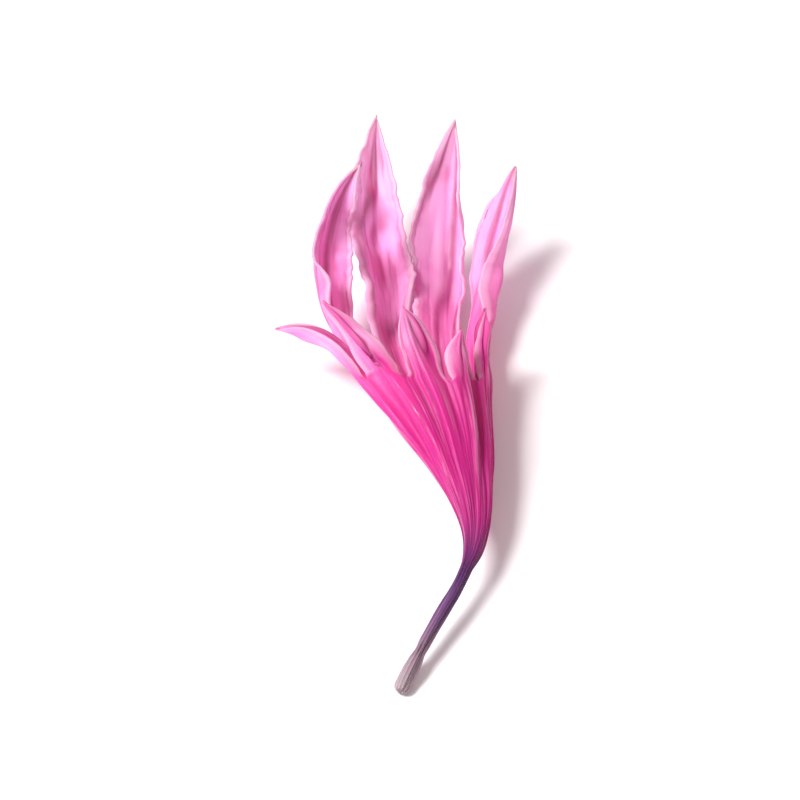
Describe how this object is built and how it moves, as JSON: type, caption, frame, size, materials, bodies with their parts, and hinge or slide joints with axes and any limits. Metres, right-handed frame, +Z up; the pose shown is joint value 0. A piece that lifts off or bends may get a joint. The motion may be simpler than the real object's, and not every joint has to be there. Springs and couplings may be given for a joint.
{
  "type": "dried cornflower floret",
  "caption": "Single dried pink cornflower ray floret: a thread-thin purple tube that opens into an oblique pleated funnel cut into pointed lobes, lying on its side.",
  "frame": {"origin": "the middle of the floret's bounding box, on the surface that it lies on", "axes": "+Z up from the surface, +Y along the floret from its tube towards its lobes, +X to the right seen from the tube"},
  "size_m": [0.0072, 0.021, 0.0045],
  "materials": {
    "petal_tissue": "matte"
  },
  "bodies": {
    "root": {"ray_floret": "petal_tissue"}
  },
  "joints": []
}
